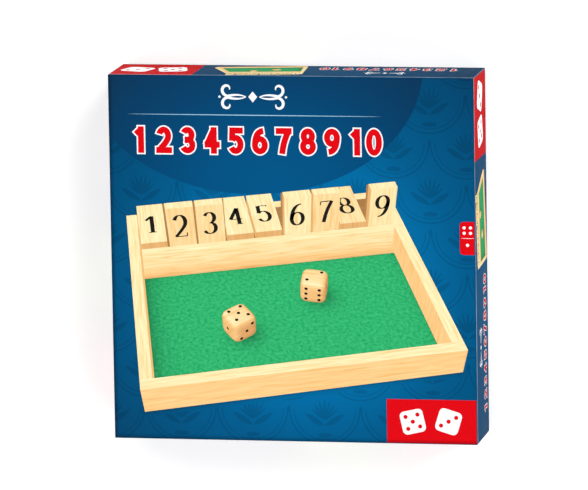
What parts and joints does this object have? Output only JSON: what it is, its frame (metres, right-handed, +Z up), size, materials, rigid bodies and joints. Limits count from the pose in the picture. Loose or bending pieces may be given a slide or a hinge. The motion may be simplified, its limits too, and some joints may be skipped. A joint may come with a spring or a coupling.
{
  "type": "shut the box game",
  "caption": "Square cardboard box with a lift-off printed lid over a felt-lined wooden dice board with rows of hinged number tiles along its sides and loose dice.",
  "frame": {"origin": "centre of the closed box's underside", "axes": "+Z up through the lid, +Y to the top edge of the cover print, +X to its right edge"},
  "size_m": [0.3116, 0.3116, 0.065],
  "materials": {
    "printed_paper": "satin laminated print, navy to mid blue",
    "tray_paper": "satin laminated blue paper",
    "greyboard": "bare grey chipboard",
    "leaflet_paper": "matt white paper",
    "frame_wood": "sanded pale pine, clear satin",
    "rail_wood": "sanded pale pine, clear satin",
    "tile_wood": "sanded pale pine with black printed numbers",
    "plywood": "plain birch plywood",
    "green_felt": "short green felt",
    "steel_rod": "drawn bright steel",
    "dice_wood": "rounded pale wood with black pips"
  },
  "bodies": {
    "box_tray": {"tray_greyboard": "greyboard", "tray_wrap": "tray_paper", "tray_bottom_sheet": "tray_paper", "rules_leaflet": "leaflet_paper"},
    "lid": {"lid_greyboard": "greyboard", "lid_wrap": "printed_paper"},
    "board": {"frame_front": "frame_wood", "frame_right": "frame_wood", "frame_back": "frame_wood", "frame_left": "frame_wood", "rail_front": "rail_wood", "rail_right": "rail_wood", "rail_back": "rail_wood", "rail_left": "rail_wood", "base_panel": "plywood", "felt_lining": "green_felt", "tile_rods": "steel_rod"},
    "die_a": {"die_a": "dice_wood"},
    "die_b": {"die_b": "dice_wood"},
    "tile_front_01": {"tile_front_01": "tile_wood"},
    "tile_front_02": {"tile_front_02": "tile_wood"},
    "tile_front_03": {"tile_front_03": "tile_wood"},
    "tile_front_04": {"tile_front_04": "tile_wood"},
    "tile_front_05": {"tile_front_05": "tile_wood"},
    "tile_front_06": {"tile_front_06": "tile_wood"},
    "tile_front_07": {"tile_front_07": "tile_wood"},
    "tile_front_08": {"tile_front_08": "tile_wood"},
    "tile_front_09": {"tile_front_09": "tile_wood"},
    "tile_front_10": {"tile_front_10": "tile_wood"},
    "tile_right_01": {"tile_right_01": "tile_wood"},
    "tile_right_02": {"tile_right_02": "tile_wood"},
    "tile_right_03": {"tile_right_03": "tile_wood"},
    "tile_right_04": {"tile_right_04": "tile_wood"},
    "tile_right_05": {"tile_right_05": "tile_wood"},
    "tile_right_06": {"tile_right_06": "tile_wood"},
    "tile_right_07": {"tile_right_07": "tile_wood"},
    "tile_right_08": {"tile_right_08": "tile_wood"},
    "tile_right_09": {"tile_right_09": "tile_wood"},
    "tile_right_10": {"tile_right_10": "tile_wood"},
    "tile_back_01": {"tile_back_01": "tile_wood"},
    "tile_back_02": {"tile_back_02": "tile_wood"},
    "tile_back_03": {"tile_back_03": "tile_wood"},
    "tile_back_04": {"tile_back_04": "tile_wood"},
    "tile_back_05": {"tile_back_05": "tile_wood"},
    "tile_back_06": {"tile_back_06": "tile_wood"},
    "tile_back_07": {"tile_back_07": "tile_wood"},
    "tile_back_08": {"tile_back_08": "tile_wood"},
    "tile_back_09": {"tile_back_09": "tile_wood"},
    "tile_back_10": {"tile_back_10": "tile_wood"},
    "tile_left_01": {"tile_left_01": "tile_wood"},
    "tile_left_02": {"tile_left_02": "tile_wood"},
    "tile_left_03": {"tile_left_03": "tile_wood"},
    "tile_left_04": {"tile_left_04": "tile_wood"},
    "tile_left_05": {"tile_left_05": "tile_wood"},
    "tile_left_06": {"tile_left_06": "tile_wood"},
    "tile_left_07": {"tile_left_07": "tile_wood"},
    "tile_left_08": {"tile_left_08": "tile_wood"},
    "tile_left_09": {"tile_left_09": "tile_wood"},
    "tile_left_10": {"tile_left_10": "tile_wood"}
  },
  "joints": [
    {"name": "lid_lift", "type": "slide", "parent": "box_tray", "child": "lid", "axis": [0, 0, 1], "range_m": [0, 0.35]},
    {"name": "board_lift", "type": "slide", "parent": "box_tray", "child": "board", "axis": [0, 0, 1], "range_m": [0, 0.07]},
    {"name": "die_a_lift", "type": "slide", "parent": "board", "child": "die_a", "axis": [0, 0, 1], "range_m": [0, 0.03]},
    {"name": "die_b_lift", "type": "slide", "parent": "board", "child": "die_b", "axis": [0, 0, 1], "range_m": [0, 0.03]},
    {"name": "tile_front_01_flip", "type": "hinge", "parent": "board", "child": "tile_front_01", "pos_m": [-0.0801, -0.108, 0.02455], "axis": [-1, 0, 0], "range_deg": [0, 105]},
    {"name": "tile_front_02_flip", "type": "hinge", "parent": "board", "child": "tile_front_02", "pos_m": [-0.0623, -0.108, 0.02455], "axis": [-1, 0, 0], "range_deg": [0, 105]},
    {"name": "tile_front_03_flip", "type": "hinge", "parent": "board", "child": "tile_front_03", "pos_m": [-0.0445, -0.108, 0.02455], "axis": [-1, 0, 0], "range_deg": [0, 105]},
    {"name": "tile_front_04_flip", "type": "hinge", "parent": "board", "child": "tile_front_04", "pos_m": [-0.0267, -0.108, 0.02455], "axis": [-1, 0, 0], "range_deg": [0, 105]},
    {"name": "tile_front_05_flip", "type": "hinge", "parent": "board", "child": "tile_front_05", "pos_m": [-0.0089, -0.108, 0.02455], "axis": [-1, 0, 0], "range_deg": [0, 105]},
    {"name": "tile_front_06_flip", "type": "hinge", "parent": "board", "child": "tile_front_06", "pos_m": [0.0089, -0.108, 0.02455], "axis": [-1, 0, 0], "range_deg": [0, 105]},
    {"name": "tile_front_07_flip", "type": "hinge", "parent": "board", "child": "tile_front_07", "pos_m": [0.0267, -0.108, 0.02455], "axis": [-1, 0, 0], "range_deg": [0, 105]},
    {"name": "tile_front_08_flip", "type": "hinge", "parent": "board", "child": "tile_front_08", "pos_m": [0.0445, -0.108, 0.02455], "axis": [-1, 0, 0], "range_deg": [0, 105]},
    {"name": "tile_front_09_flip", "type": "hinge", "parent": "board", "child": "tile_front_09", "pos_m": [0.0623, -0.108, 0.02455], "axis": [-1, 0, 0], "range_deg": [0, 105]},
    {"name": "tile_front_10_flip", "type": "hinge", "parent": "board", "child": "tile_front_10", "pos_m": [0.0801, -0.108, 0.02455], "axis": [-1, 0, 0], "range_deg": [0, 105]},
    {"name": "tile_right_01_flip", "type": "hinge", "parent": "board", "child": "tile_right_01", "pos_m": [0.108, -0.0801, 0.02455], "axis": [0, -1, 0], "range_deg": [0, 105]},
    {"name": "tile_right_02_flip", "type": "hinge", "parent": "board", "child": "tile_right_02", "pos_m": [0.108, -0.0623, 0.02455], "axis": [0, -1, 0], "range_deg": [0, 105]},
    {"name": "tile_right_03_flip", "type": "hinge", "parent": "board", "child": "tile_right_03", "pos_m": [0.108, -0.0445, 0.02455], "axis": [0, -1, 0], "range_deg": [0, 105]},
    {"name": "tile_right_04_flip", "type": "hinge", "parent": "board", "child": "tile_right_04", "pos_m": [0.108, -0.0267, 0.02455], "axis": [0, -1, 0], "range_deg": [0, 105]},
    {"name": "tile_right_05_flip", "type": "hinge", "parent": "board", "child": "tile_right_05", "pos_m": [0.108, -0.0089, 0.02455], "axis": [0, -1, 0], "range_deg": [0, 105]},
    {"name": "tile_right_06_flip", "type": "hinge", "parent": "board", "child": "tile_right_06", "pos_m": [0.108, 0.0089, 0.02455], "axis": [0, -1, 0], "range_deg": [0, 105]},
    {"name": "tile_right_07_flip", "type": "hinge", "parent": "board", "child": "tile_right_07", "pos_m": [0.108, 0.0267, 0.02455], "axis": [0, -1, 0], "range_deg": [0, 105]},
    {"name": "tile_right_08_flip", "type": "hinge", "parent": "board", "child": "tile_right_08", "pos_m": [0.108, 0.0445, 0.02455], "axis": [0, -1, 0], "range_deg": [0, 105]},
    {"name": "tile_right_09_flip", "type": "hinge", "parent": "board", "child": "tile_right_09", "pos_m": [0.108, 0.0623, 0.02455], "axis": [0, -1, 0], "range_deg": [0, 105]},
    {"name": "tile_right_10_flip", "type": "hinge", "parent": "board", "child": "tile_right_10", "pos_m": [0.108, 0.0801, 0.02455], "axis": [0, -1, 0], "range_deg": [0, 105]},
    {"name": "tile_back_01_flip", "type": "hinge", "parent": "board", "child": "tile_back_01", "pos_m": [0.0801, 0.108, 0.02455], "axis": [1, 0, 0], "range_deg": [0, 105]},
    {"name": "tile_back_02_flip", "type": "hinge", "parent": "board", "child": "tile_back_02", "pos_m": [0.0623, 0.108, 0.02455], "axis": [1, 0, 0], "range_deg": [0, 105]},
    {"name": "tile_back_03_flip", "type": "hinge", "parent": "board", "child": "tile_back_03", "pos_m": [0.0445, 0.108, 0.02455], "axis": [1, 0, 0], "range_deg": [0, 105]},
    {"name": "tile_back_04_flip", "type": "hinge", "parent": "board", "child": "tile_back_04", "pos_m": [0.0267, 0.108, 0.02455], "axis": [1, 0, 0], "range_deg": [0, 105]},
    {"name": "tile_back_05_flip", "type": "hinge", "parent": "board", "child": "tile_back_05", "pos_m": [0.0089, 0.108, 0.02455], "axis": [1, 0, 0], "range_deg": [0, 105]},
    {"name": "tile_back_06_flip", "type": "hinge", "parent": "board", "child": "tile_back_06", "pos_m": [-0.0089, 0.108, 0.02455], "axis": [1, 0, 0], "range_deg": [0, 105]},
    {"name": "tile_back_07_flip", "type": "hinge", "parent": "board", "child": "tile_back_07", "pos_m": [-0.0267, 0.108, 0.02455], "axis": [1, 0, 0], "range_deg": [0, 105]},
    {"name": "tile_back_08_flip", "type": "hinge", "parent": "board", "child": "tile_back_08", "pos_m": [-0.0445, 0.108, 0.02455], "axis": [1, 0, 0], "range_deg": [0, 105]},
    {"name": "tile_back_09_flip", "type": "hinge", "parent": "board", "child": "tile_back_09", "pos_m": [-0.0623, 0.108, 0.02455], "axis": [1, 0, 0], "range_deg": [0, 105]},
    {"name": "tile_back_10_flip", "type": "hinge", "parent": "board", "child": "tile_back_10", "pos_m": [-0.0801, 0.108, 0.02455], "axis": [1, 0, 0], "range_deg": [0, 105]},
    {"name": "tile_left_01_flip", "type": "hinge", "parent": "board", "child": "tile_left_01", "pos_m": [-0.108, 0.0801, 0.02455], "axis": [0, 1, 0], "range_deg": [0, 105]},
    {"name": "tile_left_02_flip", "type": "hinge", "parent": "board", "child": "tile_left_02", "pos_m": [-0.108, 0.0623, 0.02455], "axis": [0, 1, 0], "range_deg": [0, 105]},
    {"name": "tile_left_03_flip", "type": "hinge", "parent": "board", "child": "tile_left_03", "pos_m": [-0.108, 0.0445, 0.02455], "axis": [0, 1, 0], "range_deg": [0, 105]},
    {"name": "tile_left_04_flip", "type": "hinge", "parent": "board", "child": "tile_left_04", "pos_m": [-0.108, 0.0267, 0.02455], "axis": [0, 1, 0], "range_deg": [0, 105]},
    {"name": "tile_left_05_flip", "type": "hinge", "parent": "board", "child": "tile_left_05", "pos_m": [-0.108, 0.0089, 0.02455], "axis": [0, 1, 0], "range_deg": [0, 105]},
    {"name": "tile_left_06_flip", "type": "hinge", "parent": "board", "child": "tile_left_06", "pos_m": [-0.108, -0.0089, 0.02455], "axis": [0, 1, 0], "range_deg": [0, 105]},
    {"name": "tile_left_07_flip", "type": "hinge", "parent": "board", "child": "tile_left_07", "pos_m": [-0.108, -0.0267, 0.02455], "axis": [0, 1, 0], "range_deg": [0, 105]},
    {"name": "tile_left_08_flip", "type": "hinge", "parent": "board", "child": "tile_left_08", "pos_m": [-0.108, -0.0445, 0.02455], "axis": [0, 1, 0], "range_deg": [0, 105]},
    {"name": "tile_left_09_flip", "type": "hinge", "parent": "board", "child": "tile_left_09", "pos_m": [-0.108, -0.0623, 0.02455], "axis": [0, 1, 0], "range_deg": [0, 105]},
    {"name": "tile_left_10_flip", "type": "hinge", "parent": "board", "child": "tile_left_10", "pos_m": [-0.108, -0.0801, 0.02455], "axis": [0, 1, 0], "range_deg": [0, 105]}
  ],
  "couplings": [
    {"joint": "board_lift", "follows": "lid_lift", "ratio": 0.2}
  ]
}
